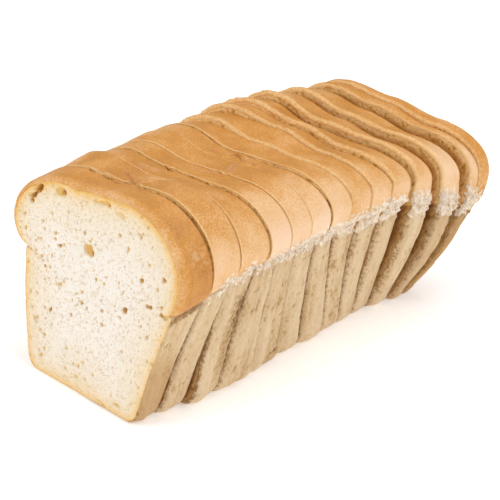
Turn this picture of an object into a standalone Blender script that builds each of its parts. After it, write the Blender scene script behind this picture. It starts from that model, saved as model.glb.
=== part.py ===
"""A sliced tin loaf: fourteen slices that still stand together as the loaf.

Run it with blender --background --python part.py, or from the text editor.
The loaf lies along Y with its cut front face towards -Y and its heel towards +Y.
X runs across it, Z is up, and the feet of the slices stand on z = 0.
"""

import math
import random
from typing import NamedTuple

import bpy
import bmesh

MM = 0.001

# Tin part of a slice: half widths, and the height where a cut changes its lean
FOOT_HALF = 39.5 * MM
FOOT_CORNER = 7.0 * MM
FOOT_CORNER_TURN = math.radians(80.0)
WAIST_HALF = 47.5 * MM
KNEE_HEIGHT = 58.5 * MM
KNEE_REACH = 12.0 * MM
FRONT_LOPSIDE = 3.0 * MM
CREASE_DEPTH = 1.4 * MM

# Crown above the waist: its rolled edge at the sides
BULGE_HALF = 54.5 * MM
LIP_RISE = 0.7 * MM
LIP_OUT = 1.2 * MM
VALLEY_OFFSET = -2.0 * MM

# Lines along the loaf, as (distance from the front foot, value) in millimetres
WAIST_HEIGHT = (
    (0, 53.6), (30, 56.6), (60, 59.2), (100, 59.6), (142, 60.0), (160, 57.2), (175, 53.0),
    (190, 48.0), (205, 45.5),
)
BULGE_HEIGHT = (
    (0, 66.5), (30, 68.0), (60, 69.8), (95, 71.8), (130, 74.5), (148, 73.0), (168, 70.0),
    (188, 66.0), (205, 61.0),
)
LEFT_LOBE = (
    (0, 92.4), (18, 92.6), (36, 94.3), (60, 93.0), (85, 95.0), (105, 95.8), (120, 98.0),
    (150, 97.4), (170, 94.8), (190, 92.6), (210, 91.7),
)
VALLEY = (
    (0, 94.2), (24, 93.4), (45, 91.3), (65, 89.8), (92, 89.4), (106, 90.6), (120, 94.0),
    (135, 92.6), (150, 90.0), (170, 88.2), (190, 89.0), (210, 89.6),
)
RIGHT_LOBE = (
    (0, 94.9), (30, 95.4), (45, 92.8), (58, 90.0), (85, 89.0), (110, 88.0), (135, 87.0),
    (150, 87.0), (170, 84.8), (190, 82.8), (210, 84.6),
)
LEFT_OFFSET = ((0, 14.0), (20, 17.0), (45, 27.0))
RIGHT_OFFSET = ((0, 20.0), (25, 22.0), (50, 26.5))

# Cut faces
CLEARANCE = 0.45 * MM
EDGE_ROUND = 0.5 * MM
INSET_CENTRE = 44.0 * MM
GAP_AT_FOOT = 0.2
GAP_AT_LEFT = 0.2
FRONT_ROUND = 1.4 * MM

# Rows of points across a slice, as shares of its thickness
USUAL_THICKNESS = 14.0 * MM
MIDDLE_SHARES = (0.33, 0.68)

# Heel: how far its end crust rounds over and hangs out above the tin's end. The rounding
# is tighter at the sides, where a point lies mostly sideways from the middle
HEEL_ROUND = 7.0 * MM
HEEL_SIDE_ROUND = 3.6 * MM
HEEL_SIDE_SHARES = (0.7, 0.9)
HEEL_OVERHANG = 1.2 * MM
HEEL_ROUND_FROM = 0.45
HEEL_STEPS = 4

# Torn shred below the crown and the ripple down the side walls
SHRED_JAG = 1.1 * MM
WALL_RIPPLE = 0.6 * MM
RELIEF_SEED = 14

# Points along each stretch of one half of the outline
FOOT_POINTS = 2
CORNER_POINTS = 4
WALL_POINTS = 6
LIP_POINTS = 5
DOME_POINTS = 9
VALLEY_POINTS = 4
CAP_DOME_POINTS = 4

# Look of the crust: colour, tints from slice to slice, and the sharpest smoothed edge
CRUST_COLOUR = (0.66, 0.33, 0.10, 1.0)
CRUST_ROUGHNESS = 0.75
TINTS = (0.96, 0.98, 1.0, 1.02)
SMOOTH_ANGLE = math.radians(35.0)


class Cut(NamedTuple):
    """One cut through the loaf, in millimetres at the middle of its width.

    foot, waist: distance from the front foot at the foot and from the waist up
    lean: how far the cut leans back for each millimetre above the waist
    turn: how far it lies back for each millimetre to the right
    gap: opening behind it at the right of the crown
    step_left, step_valley, step_right: how far the next slice stands above this one
    """

    foot: float
    waist: float
    lean: float
    turn: float
    gap: float = 0.0
    step_left: float = 0.0
    step_valley: float = 0.0
    step_right: float = 0.0


FRONT_FACE = Cut(0.0, 9.3, 0.16, 0.0)

CUTS = (
    Cut(11.7, 26.4, 0.05, 0.02, 1.5, 0.2, 0.2, 0.8),
    Cut(24.8, 42.7, 0.05, 0.03, 0.6, -0.6, -0.4, -0.8),
    Cut(37.4, 57.4, 0.01, 0.09, 0.5, 0.6, 0.6, 1.2),
    Cut(57.0, 68.7, 0.03, 0.11, 0.0, 0.3, 0.2, 0.3),
    Cut(75.7, 80.3, 0.06, 0.12, 0.0, -0.5, -0.3, -0.5),
    Cut(93.0, 91.8, 0.06, 0.13, 0.6, 0.4, 0.4, 1.4),
    Cut(109.4, 104.5, 0.09, 0.13, 0.0, 3.0, 0.7, 0.6),
    Cut(121.4, 117.6, 0.10, 0.13, 0.2, 4.2, 1.0, 0.8),
    Cut(133.0, 131.6, 0.06, 0.135, 0.3, 3.0, 2.8, 2.8),
    Cut(145.4, 146.2, 0.03, 0.11, 3.6, 3.6, 3.6, 3.0),
    Cut(160.5, 164.6, -0.02, 0.06, 6.8, 3.2, 1.8, 3.0),
    Cut(168.0, 185.0, -0.06, 0.06, 7.0, 3.2, 2.6, 3.0),
    Cut(175.0, 197.6, -0.08, 0.07, 0.4, 1.6, 1.6, 2.2),
)

HEEL_END = Cut(182.0, 207.0, -0.08, 0.07)

# For each slice, in millimetres: how far its crown stands out to the right, how far its
# crown, its feet and its right waist are spread, and how far its right wall swells out;
# then how far every left wall does
CROWN_SHIFTS = (-0.6, 0.2, 0.4, 1.0, 1.0, 0.8, 1.2, 1.0, 1.2, 1.6, 2.0, 2.8, 4.0, 4.6)
FOOT_SPREADS = (-1.0, 1.0, 4.6, 5.0, 3.0, 0.0, 0.6, -0.8, -2.0, -2.6, -1.0, 1.2, 1.0, -0.6)
CROWN_SPREADS = (2.2, 0.6) + (0.0,) * 12
WAIST_SPREADS = (3.0, 3.4, 0.8, 0.0, 0.0, 0.0, 0.0, 0.8, 2.4, 3.4, 7.0, 8.0, 6.6, 3.8)
WALL_SWELLS = (-0.8,) * 8 + (-0.4, 0.8, 2.2, 3.0, 3.0, 1.0)
LEFT_SWELL = 1.6


def value_at(stations, distance):
    """Smooth value between the stations of a line along the loaf, in metres."""
    place = distance / MM
    if place <= stations[0][0]:
        return stations[0][1] * MM
    for (near, low), (far, high) in zip(stations, stations[1:]):
        if place <= far:
            part = (place - near) / (far - near)
            part = part * part * (3.0 - 2.0 * part)
            return (low + (high - low) * part) * MM
    return stations[-1][1] * MM


def past_knee(z):
    """Height above the knee of the cuts, eased in around it."""
    above = z - KNEE_HEIGHT
    if abs(above) > KNEE_REACH:
        return max(0.0, above)
    return (above + KNEE_REACH) ** 2 / (4.0 * KNEE_REACH)


class Plane:
    """The surface of a cut: one lean below the waist and another above it."""

    def __init__(self, cut, gap=0.0, away=0.0):
        self.cut = cut
        self.gap = gap * MM
        self.away = away

    def y(self, x, z):
        cut = self.cut
        lower_lean = (cut.waist - cut.foot) * MM / KNEE_HEIGHT
        bend = (cut.lean - lower_lean) * past_knee(z)
        middle = cut.foot * MM + lower_lean * z + bend
        return middle + cut.turn * x + self.away + self.opening(x, z)

    def opening(self, x, z):
        """How far the next slice has fanned out from this cut at a point."""
        right = min(1.0, max(0.0, 0.5 + 0.5 * x / BULGE_HALF))
        up = min(1.0, z / KNEE_HEIGHT)
        across = GAP_AT_LEFT + (1.0 - GAP_AT_LEFT) * right
        return self.gap * across * (GAP_AT_FOOT + (1.0 - GAP_AT_FOOT) * up)


class Section(NamedTuple):
    """Heights and offsets of the outline at one place along the loaf, in metres."""

    left: float
    valley: float
    right: float
    waist: float
    bulge: float
    left_offset: float
    right_offset: float


def half_outline(side, section, foot_half, waist_half, bulge_half, swell):
    """Points of one half of the outline, from under the middle to the valley."""
    points = []
    lobe = section.right if side > 0 else section.left
    offset = section.right_offset if side > 0 else section.left_offset
    flat = foot_half - FOOT_CORNER
    for step in range(FOOT_POINTS):
        points.append((flat * (step + 1) / FOOT_POINTS, 0.0))
    for step in range(1, CORNER_POINTS + 1):
        angle = FOOT_CORNER_TURN * step / CORNER_POINTS
        points.append(
            (flat + FOOT_CORNER * math.sin(angle), FOOT_CORNER * (1.0 - math.cos(angle)))
        )
    low_x, low_z = points[-1]
    for step in range(1, WALL_POINTS + 1):
        part = step / WALL_POINTS
        x = low_x + (waist_half - low_x) * part + swell * math.sin(math.pi * part)
        points.append((x, low_z + (section.waist - low_z) * part))
    lip_x = waist_half + LIP_OUT
    points.append((waist_half - CREASE_DEPTH, section.waist + LIP_RISE))
    for step in range(LIP_POINTS):
        angle = math.radians(90.0) * step / LIP_POINTS
        drop = section.bulge - section.waist - 2.0 * LIP_RISE
        points.append(
            (
                lip_x + (bulge_half - lip_x) * math.sin(angle),
                section.bulge - drop * math.cos(angle),
            )
        )
    for step in range(DOME_POINTS):
        angle = math.radians(90.0) * step / DOME_POINTS
        points.append(
            (
                offset + (bulge_half - offset) * math.cos(angle),
                section.bulge + (lobe - section.bulge) * math.sin(angle),
            )
        )
    reach = offset - side * VALLEY_OFFSET
    for step in range(VALLEY_POINTS):
        part = step / VALLEY_POINTS
        dip = 0.5 - 0.5 * math.cos(math.pi * part)
        points.append((offset - reach * part, lobe + (section.valley - lobe) * dip))
    return [(side * x, z) for x, z in points]


def outline(number, section):
    """Closed outline of a slice, up the right side and down the left."""
    foot = FOOT_HALF + FOOT_SPREADS[number] * MM
    lopside = FRONT_LOPSIDE if number == 0 else 0.0
    bulge = BULGE_HALF + CROWN_SPREADS[number] * MM
    swell = WALL_SWELLS[number] * MM
    right_waist = WAIST_HALF + lopside + WAIST_SPREADS[number] * MM
    right = half_outline(1, section, foot, right_waist, bulge, swell)
    left = half_outline(-1, section, foot, WAIST_HALF - lopside, bulge, LEFT_SWELL * MM)
    return [(0.0, 0.0)] + right + [(VALLEY_OFFSET, section.valley)] + left[::-1]


def crease_indices(count):
    """Places of the right and left crease in an outline of that many points."""
    right = 1 + FOOT_POINTS + CORNER_POINTS + WALL_POINTS
    return right, count - right


def relief(index, count, row, rng_rows):
    """Small outward and upward offsets that break up the walls and the shred."""
    right, left = crease_indices(count)
    ripple, jag = rng_rows[row][index]
    near_crease = min(abs(index - right), abs(index - left))
    on_wall = FOOT_POINTS < index < right or left < index < count - FOOT_POINTS
    out = WALL_RIPPLE * ripple if on_wall else 0.0
    up = SHRED_JAG * jag if near_crease == 0 else 0.0
    if near_crease == 1:
        up = 0.5 * SHRED_JAG * jag
        out = WALL_RIPPLE * ripple
    return out, up


def inset_point(x, z, inset, centre_z):
    """Moves a point of the outline towards the middle of the slice."""
    away = math.hypot(x, z - centre_z)
    scale = max(0.0, 1.0 - inset / away)
    return x * scale, centre_z + (z - centre_z) * scale


def slice_rows(number, heel):
    """Rows across the thickness: (share of the thickness, inset, share of the heel's rounding)."""
    near_round = FRONT_ROUND if number == 0 else EDGE_ROUND
    rows = [(0.0, near_round, 0.0), (near_round / USUAL_THICKNESS, 0.0, 0.0)]
    if heel:
        rows.append((MIDDLE_SHARES[0], 0.0, 0.0))
        for step in range(1, HEEL_STEPS + 1):
            angle = math.radians(90.0) * step / HEEL_STEPS
            share = HEEL_ROUND_FROM + (1.0 - HEEL_ROUND_FROM) * math.sin(angle)
            rows.append((share, 0.0, 1.0 - math.cos(angle)))
        return rows
    rows += [(share, 0.0, 0.0) for share in MIDDLE_SHARES]
    rows.append((1.0 - EDGE_ROUND / USUAL_THICKNESS, 0.0, 0.0))
    return rows + [(1.0, EDGE_ROUND, 0.0)]


def heel_reach(z, section):
    """How far the end crust of the heel hangs out above the tin's end."""
    part = (z - section.waist) / (section.bulge - section.waist)
    return HEEL_OVERHANG * math.sin(math.radians(90.0) * min(1.0, max(0.0, part)))


def heel_round(x, z):
    """How far the heel's end rounds over: less at the sides."""
    low, high = HEEL_SIDE_SHARES
    sideways = abs(x) / math.hypot(x, z - INSET_CENTRE)
    side = min(1.0, max(0.0, (sideways - low) / (high - low)))
    return HEEL_ROUND + (HEEL_SIDE_ROUND - HEEL_ROUND) * side


def add_cap(mesh, ring):
    """Closes a cut face with bands across the slice, so that it follows the bend."""
    count = len(ring)
    crease = crease_indices(count)[0]
    low = FOOT_POINTS + 1
    mesh.faces.new(ring[count - low :] + ring[: low + 1])
    top = crease + LIP_POINTS + CAP_DOME_POINTS
    levels = [level for level in range(low, top + 1) if abs(level - crease - 0.5) > 1.0]
    for level, after in zip(levels, levels[1:]):
        right = ring[level : after + 1]
        left = ring[count - after : count - level + 1]
        mesh.faces.new(right + left)
    mesh.faces.new(ring[top : count - top + 1])


def build_slice(number, front, back, near_section, far_section):
    """Mesh of one slice between two cut planes."""
    rng = random.Random(RELIEF_SEED + number)
    heel = number == len(CUTS)
    rows = slice_rows(number, heel)
    shift = CROWN_SHIFTS[number] * MM
    count = len(outline(number, near_section))
    rng_rows = [
        [(rng.uniform(-1.0, 1.0), rng.uniform(-1.0, 1.0)) for _ in range(count)] for _ in rows
    ]
    mesh = bmesh.new()
    rings = []
    for row, (share, inset, rounding) in enumerate(rows):
        pairs = zip(near_section, far_section)
        section = Section(*(near + (far - near) * share for near, far in pairs))
        ring = []
        for index, (x, z) in enumerate(outline(number, section)):
            out, up = relief(index, count, row, rng_rows)
            x += math.copysign(out, x)
            z += up
            inwards = inset + rounding * heel_round(x, z)
            x, z = inset_point(x, z, inwards, INSET_CENTRE)
            x += shift * min(1.0, z / section.waist)
            near_y = front.y(x, z)
            far_y = back.y(x, z) + (heel_reach(z, section) if heel else 0.0)
            ring.append(mesh.verts.new((x, near_y + (far_y - near_y) * share, z)))
        rings.append(ring)
    for near, far in zip(rings, rings[1:]):
        for index in range(count):
            after = (index + 1) % count
            mesh.faces.new((near[index], near[after], far[after], far[index]))
    for ring in (rings[0], rings[-1]):
        add_cap(mesh, ring)
    bmesh.ops.recalc_face_normals(mesh, faces=mesh.faces)
    bmesh.ops.triangulate(mesh, faces=mesh.faces)
    return mesh


def section_at(distance, steps=(0.0, 0.0, 0.0)):
    """Outline sizes at a distance along the loaf, with the crown lowered by the steps."""
    lines = (LEFT_LOBE, VALLEY, RIGHT_LOBE)
    crown = [value_at(line, distance) - step * MM for line, step in zip(lines, steps)]
    rest = (WAIST_HEIGHT, BULGE_HEIGHT, LEFT_OFFSET, RIGHT_OFFSET)
    return Section(*crown, *(value_at(line, distance) for line in rest))


def crust_material(name, tint):
    """Baked crust, a little lighter or darker from slice to slice."""
    material = bpy.data.materials.new(name)
    material.use_nodes = True
    shader = material.node_tree.nodes["Principled BSDF"]
    red, green, blue, alpha = CRUST_COLOUR
    shader.inputs["Base Color"].default_value = (red * tint, green * tint, blue * tint, alpha)
    shader.inputs["Roughness"].default_value = CRUST_ROUGHNESS
    shader.inputs["Metallic"].default_value = 0.0
    return material


def add_slice(number, parent):
    """Adds slice number, counted from the front, to the scene."""
    heel = number == len(CUTS)
    if number == 0:
        front = Plane(FRONT_FACE)
    else:
        before = CUTS[number - 1]
        front = Plane(before, before.gap, CLEARANCE)
    if heel:
        back = Plane(HEEL_END)
        steps = (0.0, 0.0, 0.0)
    else:
        cut = CUTS[number]
        back = Plane(cut)
        steps = (cut.step_left, cut.step_valley, cut.step_right)
    near = section_at(front.y(0.0, KNEE_HEIGHT))
    far = section_at(back.y(0.0, KNEE_HEIGHT), steps)
    solid = build_slice(number, front, back, near, far)
    name = f"slice_{number + 1:02d}"
    data = bpy.data.meshes.new(name)
    solid.to_mesh(data)
    solid.free()
    data.shade_smooth()
    data.set_sharp_from_angle(angle=SMOOTH_ANGLE)
    item = bpy.data.objects.new(name, data)
    item.data.materials.append(crust_material(name + "_crust", TINTS[number % len(TINTS)]))
    item.parent = parent
    bpy.context.scene.collection.objects.link(item)


def main():
    for item in list(bpy.data.objects):
        bpy.data.objects.remove(item, do_unlink=True)
    loaf = bpy.data.objects.new("loaf", None)
    bpy.context.scene.collection.objects.link(loaf)
    for number in range(len(CUTS) + 1):
        add_slice(number, loaf)
    corners = [vertex.co for item in loaf.children for vertex in item.data.vertices]
    for axis in range(2):
        values = [corner[axis] for corner in corners]
        loaf.location[axis] = -0.5 * (min(values) + max(values))


main()
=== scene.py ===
import math

import bpy
import numpy as np
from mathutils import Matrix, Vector


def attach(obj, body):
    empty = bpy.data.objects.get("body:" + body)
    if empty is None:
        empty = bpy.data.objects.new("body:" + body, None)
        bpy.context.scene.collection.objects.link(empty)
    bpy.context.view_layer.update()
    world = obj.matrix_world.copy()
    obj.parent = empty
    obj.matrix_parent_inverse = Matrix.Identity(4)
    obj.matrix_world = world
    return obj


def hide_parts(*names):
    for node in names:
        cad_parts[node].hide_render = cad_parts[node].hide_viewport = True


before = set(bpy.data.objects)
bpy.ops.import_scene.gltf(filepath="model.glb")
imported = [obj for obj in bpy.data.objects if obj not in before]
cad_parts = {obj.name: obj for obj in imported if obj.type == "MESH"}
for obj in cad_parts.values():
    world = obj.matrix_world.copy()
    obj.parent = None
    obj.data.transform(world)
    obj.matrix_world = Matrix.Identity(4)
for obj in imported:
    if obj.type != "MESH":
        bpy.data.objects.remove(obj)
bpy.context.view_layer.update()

bl_info = {
    "name": "Sliced tin loaf",
    "version": (1, 0, 0),
    "blender": (4, 5, 0),
    "location": "3D View > Sidebar > Loaf",
    "description": "Dresses the fourteen slices of a white tin loaf with crust, torn shred "
                   "and crumb",
    "category": "Object",
}

MM = 0.001

# Where the frame's origin lies in the loaf's own measure, in millimetres:
# there x = 0 is the loaf's middle line and y = 0 its front foot
ORIGIN = (1.341, 105.679)

# Outline of a slice, in millimetres, as the solids have it
FOOT_HALF = 39.5
FOOT_CORNER = 7.0
FOOT_CORNER_TURN = math.radians(80.0)
WAIST_HALF = 47.5
KNEE_HEIGHT = 58.5
KNEE_REACH = 12.0
FRONT_LOPSIDE = 3.0
CREASE_DEPTH = 1.4
BULGE_HALF = 54.5
LIP_RISE = 0.7
LIP_OUT = 1.2
VALLEY_OFFSET = -2.0
CENTRE_HEIGHT = 44.0

# Lines along the loaf: (distance from the front foot, value)
WAIST_HEIGHT = (
    (0, 53.6), (30, 56.6), (60, 59.2), (100, 59.6), (142, 60.0), (160, 57.2), (175, 53.0),
    (190, 48.0), (205, 45.5),
)
BULGE_HEIGHT = (
    (0, 66.5), (30, 68.0), (60, 69.8), (95, 71.8), (130, 74.5), (148, 73.0), (168, 70.0),
    (188, 66.0), (205, 61.0),
)
LEFT_LOBE = (
    (0, 92.4), (18, 92.6), (36, 94.3), (60, 93.0), (85, 95.0), (105, 95.8), (120, 98.0),
    (150, 97.4), (170, 94.8), (190, 92.6), (210, 91.7),
)
VALLEY = (
    (0, 94.2), (24, 93.4), (45, 91.3), (65, 89.8), (92, 89.4), (106, 90.6), (120, 94.0),
    (135, 92.6), (150, 90.0), (170, 88.2), (190, 89.0), (210, 89.6),
)
RIGHT_LOBE = (
    (0, 94.9), (30, 95.4), (45, 92.8), (58, 90.0), (85, 89.0), (110, 88.0), (135, 87.0),
    (150, 87.0), (170, 84.8), (190, 82.8), (210, 84.6),
)
LEFT_OFFSET = ((0, 14.0), (20, 17.0), (45, 27.0))
RIGHT_OFFSET = ((0, 20.0), (25, 22.0), (50, 26.5))

# Cuts: places at the foot and the waist, slope above the waist, slope across, gap behind,
# and how far the next slice stands above this one at the left lobe, valley and right lobe
FRONT_FACE = (0.0, 9.3, 0.16, 0.0, 0.0, 0.0, 0.0, 0.0)
CUTS = (
    (11.7, 26.4, 0.05, 0.02, 1.5, 0.2, 0.2, 0.8),
    (24.8, 42.7, 0.05, 0.03, 0.6, -0.6, -0.4, -0.8),
    (37.4, 57.4, 0.01, 0.09, 0.5, 0.6, 0.6, 1.2),
    (57.0, 68.7, 0.03, 0.11, 0.0, 0.3, 0.2, 0.3),
    (75.7, 80.3, 0.06, 0.12, 0.0, -0.5, -0.3, -0.5),
    (93.0, 91.8, 0.06, 0.13, 0.6, 0.4, 0.4, 1.4),
    (109.4, 104.5, 0.09, 0.13, 0.0, 3.0, 0.7, 0.6),
    (121.4, 117.6, 0.10, 0.13, 0.2, 4.2, 1.0, 0.8),
    (133.0, 131.6, 0.06, 0.135, 0.3, 3.0, 2.8, 2.8),
    (145.4, 146.2, 0.03, 0.11, 3.6, 3.6, 3.6, 3.0),
    (160.5, 164.6, -0.02, 0.06, 6.8, 3.2, 1.8, 3.0),
    (168.0, 185.0, -0.06, 0.06, 7.0, 3.2, 2.6, 3.0),
    (175.0, 197.6, -0.08, 0.07, 0.4, 1.6, 1.6, 2.2),
)
HEEL_END = (182.0, 207.0, -0.08, 0.07, 0.0, 0.0, 0.0, 0.0)

# For each slice from the front one, number 0: its crown's shift to the right, how much wider
# its foot, crown and right waist are, and how far its right wall swells
CROWN_SHIFTS = (-0.6, 0.2, 0.4, 1.0, 1.0, 0.8, 1.2, 1.0, 1.2, 1.6, 2.0, 2.8, 4.0, 4.6)
FOOT_SPREADS = (-1.0, 1.0, 4.6, 5.0, 3.0, 0.0, 0.6, -0.8, -2.0, -2.6, -1.0, 1.2, 1.0, -0.6)
CROWN_SPREADS = (2.2, 0.6) + (0.0,) * 12
WAIST_SPREADS = (3.0, 3.4, 0.8, 0.0, 0.0, 0.0, 0.0, 0.8, 2.4, 3.4, 7.0, 8.0, 6.6, 3.8)
WALL_SWELLS = (-0.8,) * 8 + (-0.4, 0.8, 2.2, 3.0, 3.0, 1.0)
LEFT_SWELL = 1.6

# Room between two slices' solids, and how much of it the bread takes up on each side
CLEARANCE = 0.45
CLOSER = 0.15

# Points on each side that a cut face's inner rings are averaged over
EVEN_REACH = 14

# Shares of a cut's gap that are open at the foot and on the left
GAP_AT_FOOT = 0.2
GAP_AT_LEFT = 0.2

# The heel's back: how far its crown hangs over, and its rounding at the top and the sides
HEEL_OVERHANG = 1.2
HEEL_ROUND = 7.0
HEEL_SIDE_ROUND = 3.6
HEEL_SIDE_SHARES = (0.7, 0.9)
SLICES = len(CUTS) + 1
HEEL = SLICES - 1

# How strongly each slice's crust is torn below the crown
TORN = (0.05, 0.85, 0.9, 0.8, 1.0, 1.0, 1.0, 0.9, 1.0, 1.0, 1.0, 1.2, 1.2, 0.7)

# Points along each stretch of half an outline. A point's zone is the number of its stretch,
# from 0 for the foot, plus how far along it is, so the wall is from 2 to 3, the crease from
# 3 to 4, the lip from 4 to 5 and the crown above 5
STRETCHES = (("foot", 12), ("corner", 10), ("wall", 64), ("crease", 5), ("lip", 34),
             ("dome", 72), ("valley", 30))

# The first slice whose crown stands above the one before it by a visible step
STEPPED_FROM = 7

# Place of the torn clump across the second and third slices' thickness
CLUMPS = {1: 0.68, 2: 0.5}
CLUMP_WIDTH = 0.27

# Unevenness of the steps' ridges, in millimetres
RIDGE_GRIT = 0.45

# How baked the tops of the near and the far slices are, from 0 pale to 1 scorched
BAKED_NEAR = 0.66
BAKED_FAR = 0.62
FAR_FROM = 10

# How much paler than the top each slice's shoulders are: partly a paler crust and partly painted
# sheen; the front slice's shoulders are darker instead
PALE_AND_SHEEN = (-0.10, 0.52, 0.46, 1.05, 0.80, 0.88, 0.66, 0.34, 0.46, 0.46, 0.42, 0.62, 0.5, 0.05)

# Cracks, folds and torn places on the crown, seen from above: points (x, y), half width, depth,
# how pink, and how much shade is painted along the crease
SCARS = (
    (((-20.6, 28.2), (-13.8, 28.7), (0.4, 25.7)), 0.9, 0.7, 0.2, 0.5),
    (((-8.9, 36.9), (-2.0, 34.6), (7.4, 29.8), (8.7, 37.5)), 0.9, 0.8, 0.35, 0.35),
    (((-10.4, 48.4), (-3.6, 50.5)), 1.2, 0.6, 0.6, 0.2),
    (((-3.4, 57.3), (0.1, 56.0)), 1.1, 0.9, 0.1, 0.8),
    (((5.7, 42.4), (10.6, 46.0)), 1.5, 0.3, 0.6, 0.0),
    (((9.4, 65.7), (17.5, 72.4), (14.0, 81.9)), 0.9, 0.7, 0.5, 0.25),
    (((-5.5, 85.7), (9.1, 90.4), (18.7, 88.4)), 0.9, 0.9, 0.25, 0.3),
    (((3.8, 91.8), (13.1, 87.7)), 0.9, 1.0, 0.05, 0.7),
    (((-29.3, 57.7), (-21.9, 58.4)), 0.9, 0.5, 0.3, 0.2),
)

# How much deeper than that they are cut, and how fine their wandering is
SCAR_DEPTH = 1.4
SCAR_WANDER = 2.2

# Blistered patch on the front slice's right lobe, with pale pink spots painted on it as highlight:
# y, z, half width and height
BLISTER_HIGHLIGHT = (23.0, 78.0, 5.0)
BLISTER_RISE = 0.35

# Marks down the tin walls: width along the loaf and length up the wall, in millimetres
GROOVE_SIZE = (4.4, 70.0)
FURROW_SIZE = (2.1, 26.0)
FIBRE_SIZE = (0.9, 5.5)
PIT_SIZE = (1.2, 1.9)
PIT_DEPTH = 0.35

# Swells and dimples of the crown: their widths along x, y and z, and their heights
SWELL_SIZE = (21.0, 13.0, 21.0)
SWELL_HEIGHT = 0.30
DIMPLE_SIZE = 2.8
DIMPLE_HEIGHT = 0.09

# How far the crust lies inside the solid, so that its relief has room
CRUST_INSET = 0.25

# Angles of the rows that round a slice's edges
EDGE_TURNS = tuple(math.radians(turn) for turn in (0, 18, 36, 54, 72, 90))

# Rings of the plain cut faces: distances from the edge of a face about this wide to its
# middle, then shares of the way out
FACE_HALF = 47.0
FACE_DISTANCES = (0.5, 1.1, 1.7, 2.3, 3.0, 3.8, 4.7, 5.8, 7.2, 9.0, 11.5, 15.0)
FACE_SHARES = (0.5, 0.3, 0.12)

# Fine pores of the front face: where they lie, their least radius, how much larger they
# get and their depth as a share of the radius
PORE_SEED = 5
PORES_ACROSS = (-56, 54)
PORES_UP = (1, 95)
PORE_RADIUS = 0.5
PORE_GROWTH = 0.62
PORE_DEPTH = 0.75

# Masks that the materials read, in the order that mask_block returns them
MASKS = ("wall", "torn", "baked", "edge", "grain", "rim", "groove_shade", "browned", "pink", "crease_shade")

# How brown the walls of the last slices are
HEEL_BROWN = {11: 0.3, 12: 0.75, 13: 1.25}

# Soft lights: name, place in metres, power in watts and size in metres
LIGHTS = (
    ("front_softbox", (-0.55, -1.0, 0.75), 6.4, 0.8),
    ("side_softbox", (1.1, 0.1, 0.9), 5.4, 0.8),
    ("top_softbox", (0.1, 0.5, 1.4), 8.0, 1.0),
)
LIGHTS_AIM = (0.0, 0.0, 0.05)
ROOM_LIGHT = 0.42
TABLE_HALF = 3.0
TABLE_DROP = 0.0002

# The photograph's view: lens and sensor in millimetres, angles in degrees, the point
# looked at in the loaf's own measure and the distance in metres
LENS = 108.0
SENSOR = 36.0
VIEW_TURN = 45.425
VIEW_RISE = 25.558
VIEW_AIM = (9.341, 95.161, 41.931)
VIEW_DISTANCE = 0.693731

# The front face's large holes, seen from the front: x, z, half width, half height,
# slant in degrees and depth
FRONT_HOLES = (
    (-38.6, 82.9, 3.4, 1.6, 48.0, 2.8),
    (-42.0, 79.0, 2.8, 1.3, 34.0, 2.4),
    (-43.2, 76.2, 1.3, 1.1, 0.0, 1.9),
    (-24.6, 85.4, 4.6, 2.5, 4.0, 0.8),
    (-22.4, 85.6, 1.8, 1.3, 20.0, 1.9),
    (-1.2, 88.2, 1.8, 1.0, 10.0, 0.6),
    (4.0, 88.8, 4.6, 1.1, 10.0, 0.7),
    (7.4, 88.8, 1.1, 0.9, 0.0, 1.4),
    (15.6, 87.0, 4.0, 1.8, -4.0, 0.5),
    (-2.6, 65.8, 4.0, 2.6, -22.0, 1.0),
    (-0.8, 64.8, 1.5, 1.2, -40.0, 1.6),
    (-22.2, 61.7, 1.2, 1.0, 0.0, 1.5),
    (-30.8, 49.7, 1.0, 1.0, 0.0, 1.3),
    (23.2, 47.8, 1.5, 1.3, 0.0, 1.7),
    (31.8, 64.0, 1.2, 1.2, 0.0, 1.6),
    (38.7, 54.6, 1.3, 1.1, 20.0, 1.6),
    (36.9, 54.4, 0.8, 1.0, 0.0, 1.3),
    (45.7, 53.6, 1.2, 1.1, 0.0, 1.5),
    (45.2, 68.6, 1.2, 1.2, 0.0, 1.5),
    (-4.0, 41.8, 0.9, 0.8, 0.0, 1.2),
    (-25.1, 31.1, 1.4, 1.0, 30.0, 1.6),
)


def srgb(red, green, blue):
    """Linear colour from the 0 to 255 values that a screen shows."""
    values = []
    for value in (red, green, blue):
        part = value / 255.0
        low = part / 12.92
        high = ((part + 0.055) / 1.055) ** 2.4
        values.append(low if part <= 0.04045 else high)
    return tuple(values)


# Shapes


def value_at(stations, place):
    """Smooth value between the stations of a line along the loaf."""
    if place <= stations[0][0]:
        return float(stations[0][1])
    for (near, low), (far, high) in zip(stations, stations[1:]):
        if place <= far:
            part = (place - near) / (far - near)
            part = part * part * (3.0 - 2.0 * part)
            return low + (high - low) * part
    return float(stations[-1][1])


def hashed(cells, seed):
    """Repeatable number from 0 to 1 for each whole-number cell."""
    mix = np.uint64(seed * 2654435761 % 4294967296)
    total = np.full(cells.shape[:-1], mix, np.uint64)
    for axis, prime in enumerate((73856093, 19349663, 83492791)):
        part = (cells[..., axis] & 0xFFFFFFFF).astype(np.uint64)
        total ^= part * np.uint64(prime) & np.uint64(0xFFFFFFFF)
    for shift, factor in ((15, 2246822519), (13, 3266489917)):
        total ^= total >> np.uint64(shift)
        total = total * np.uint64(factor) & np.uint64(0xFFFFFFFF)
    total ^= total >> np.uint64(16)
    return total.astype(np.float64) / 4294967295.0


def noise(points, seed):
    """Smooth noise from -1 to 1 with features one unit wide."""
    base = np.floor(points).astype(np.int64)
    part = points - base
    fade = part * part * part * (part * (part * 6.0 - 15.0) + 10.0)
    total = np.zeros(points.shape[:-1])
    for corner in range(8):
        step = np.array([corner & 1, corner >> 1 & 1, corner >> 2 & 1])
        weight = np.prod(np.where(step, fade, 1.0 - fade), axis=-1)
        total += weight * hashed(base + step, seed)
    return total * 2.0 - 1.0


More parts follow.
